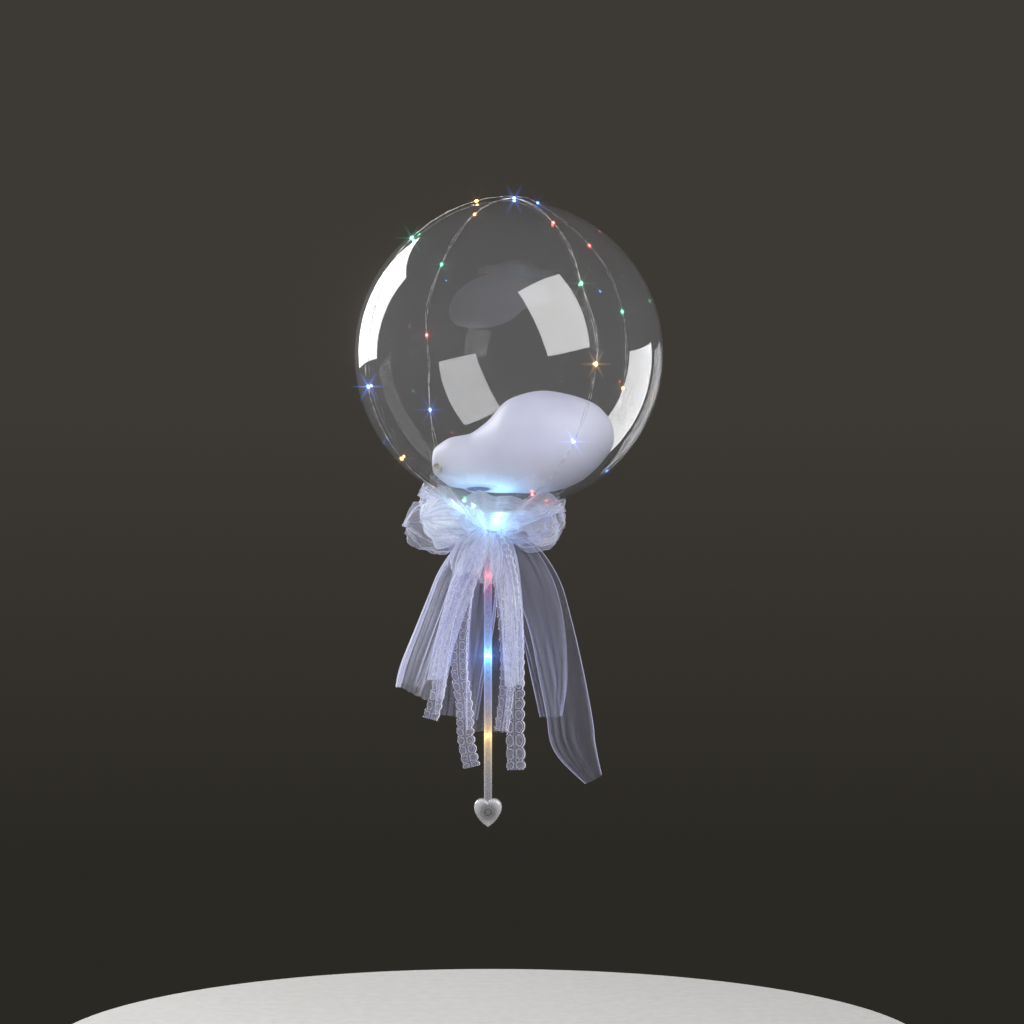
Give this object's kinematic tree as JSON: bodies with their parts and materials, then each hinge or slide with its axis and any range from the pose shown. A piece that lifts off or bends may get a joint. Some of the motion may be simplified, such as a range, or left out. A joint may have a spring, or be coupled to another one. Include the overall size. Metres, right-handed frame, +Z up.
{
  "type": "light-up bubble balloon with an inner latex balloon",
  "caption": "Clear bubble balloon with a small latex balloon inside, a string of lights, a tulle and lace bow, a clear stick and a heart-shaped battery handle.",
  "frame": {"origin": "on the axis of the clear tube, where the tube enters the top of the heart-shaped handle", "axes": "+Z up along the tube, -Y towards the front with the push button, +X to the right seen from the front"},
  "size_m": [0.3828, 0.3838, 0.7873],
  "materials": {
    "bubble_film": "clear glossy film",
    "latex": "matt translucent white latex",
    "clear_plastic": "clear glossy tube plastic",
    "tie_band": "white cord",
    "bare_wire": "fine silvery wire",
    "light_yellow": "clear resin drop over a lit yellow lamp",
    "light_blue": "clear resin drop over a lit blue lamp",
    "light_red": "clear resin drop over a lit red lamp",
    "light_green": "clear resin drop over a lit green lamp",
    "white_plastic": "satin moulded white plastic",
    "button_plastic": "satin pale grey plastic",
    "switch_plastic": "matt black plastic",
    "circuit_board": "green solder mask",
    "steel": "plated steel",
    "tulle": "fine white net with a faint lilac tint",
    "lace": "white embroidered net with a scalloped edge"
  },
  "bodies": {
    "handle": {"bubble_skin": "bubble_film", "neck_tie": "tie_band", "stick_tube": "clear_plastic", "balloon_cup": "clear_plastic", "light_wire": "bare_wire", "light_01": "light_yellow", "light_02": "light_blue", "light_03": "light_red", "light_04": "light_green", "light_05": "light_yellow", "light_06": "light_blue", "light_07": "light_red", "light_08": "light_green", "light_09": "light_yellow", "light_10": "light_blue", "light_11": "light_red", "light_12": "light_green", "light_13": "light_yellow", "light_14": "light_blue", "light_15": "light_red", "light_16": "light_green", "light_17": "light_yellow", "light_18": "light_blue", "light_19": "light_red", "light_20": "light_green", "light_21": "light_yellow", "light_22": "light_blue", "light_23": "light_red", "light_24": "light_green", "light_25": "light_yellow", "light_26": "light_blue", "light_27": "light_red", "light_28": "light_green", "light_29": "light_yellow", "light_30": "light_blue", "heart_front": "white_plastic", "heart_back": "white_plastic", "switch_body": "switch_plastic", "circuit_board": "circuit_board", "contact_front": "steel", "coin_cell_front": "steel", "coin_cell_back": "steel", "contact_back": "steel", "case_screw_left": "steel", "case_screw_right": "steel", "bow_knot": "tulle", "bow_puff_left": "tulle", "bow_puff_right": "tulle", "bow_loops_back": "tulle", "tulle_tail_left": "tulle", "tulle_tail_right": "tulle", "tulle_tail_back": "tulle", "lace_tail_left": "lace", "lace_tail_middle": "lace", "lace_tail_right": "lace", "lace_tail_short": "lace"},
    "inner_balloon": {"latex_balloon": "latex"},
    "button": {"push_button": "button_plastic", "switch_plunger": "switch_plastic"},
    "cover": {"battery_cover": "white_plastic"}
  },
  "joints": [
    {"name": "inner_balloon_roll", "type": "hinge", "parent": "handle", "child": "inner_balloon", "pos_m": [0.026, 0, 0.5575], "axis": [0.107, 0, 0.9943], "continuous": true},
    {"name": "button_press", "type": "slide", "parent": "handle", "child": "button", "axis": [0, 1, 0], "range_m": [0, 0.0008], "stiffness_N_per_m": 1500, "springref_m": -0.0006},
    {"name": "cover_turn", "type": "hinge", "parent": "handle", "child": "cover", "pos_m": [0, 0.008, -0.0168], "axis": [0, 1, 0], "range_deg": [0, 40]}
  ]
}
